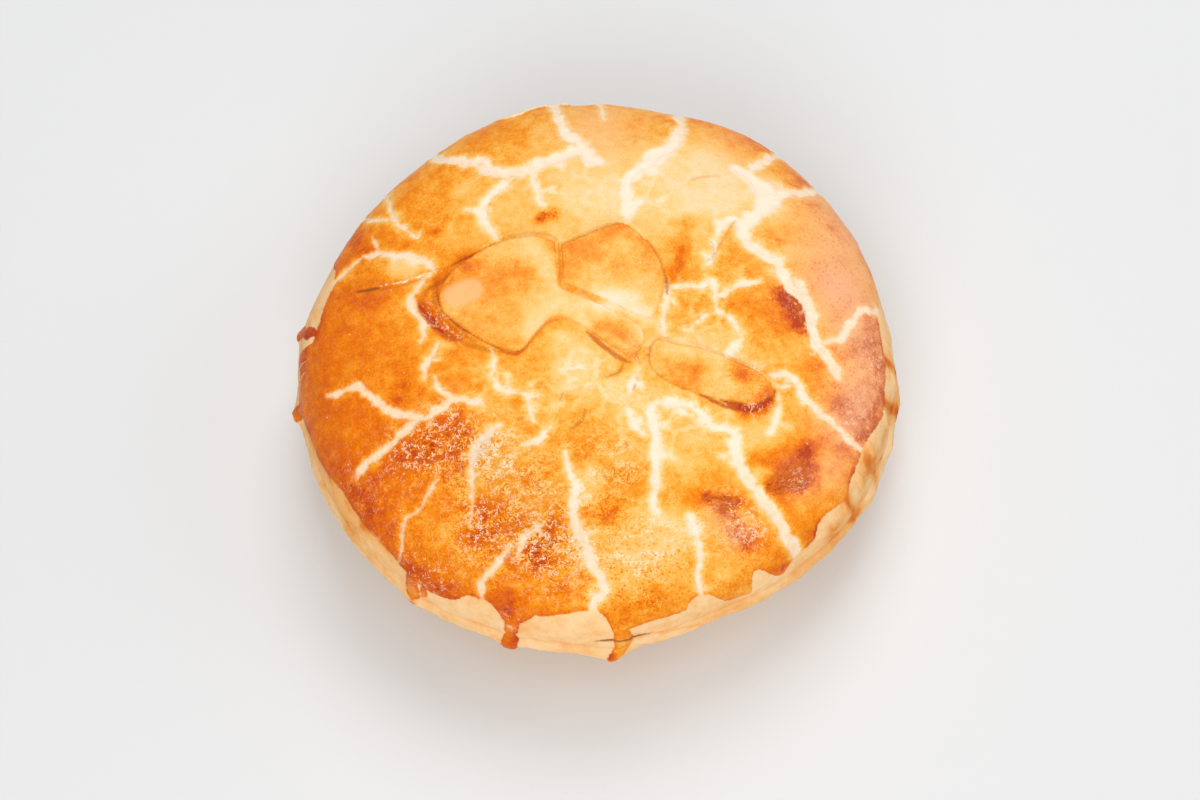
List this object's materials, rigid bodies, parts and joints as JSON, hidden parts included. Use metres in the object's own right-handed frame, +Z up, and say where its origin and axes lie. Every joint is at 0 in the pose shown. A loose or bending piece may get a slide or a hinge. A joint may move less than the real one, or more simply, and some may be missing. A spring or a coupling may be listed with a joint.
{
  "type": "domed beef pie",
  "caption": "Round family-size beef pie with a domed, egg-glazed lid that has split as it baked, a hand-pinched rim and pastry cut-outs on top.",
  "frame": {"origin": "under the middle of the pie, on the flat bottom where it rests", "axes": "+Z up out of the lid, +X to the pie's right as seen from its front, -Y its front"},
  "size_m": [0.1995, 0.1955, 0.0667],
  "materials": {
    "plain_pastry": "dry, pale baked shortcrust pastry",
    "glazed_pastry": "egg-washed pastry, baked orange brown, with pale splits",
    "golden_pastry": "egg-washed pastry, baked golden"
  },
  "bodies": {
    "root": {"pastry_case": "plain_pastry", "pie_lid": "glazed_pastry", "leaf": "golden_pastry", "side_leaf": "golden_pastry", "stalk_end": "golden_pastry"}
  },
  "joints": []
}
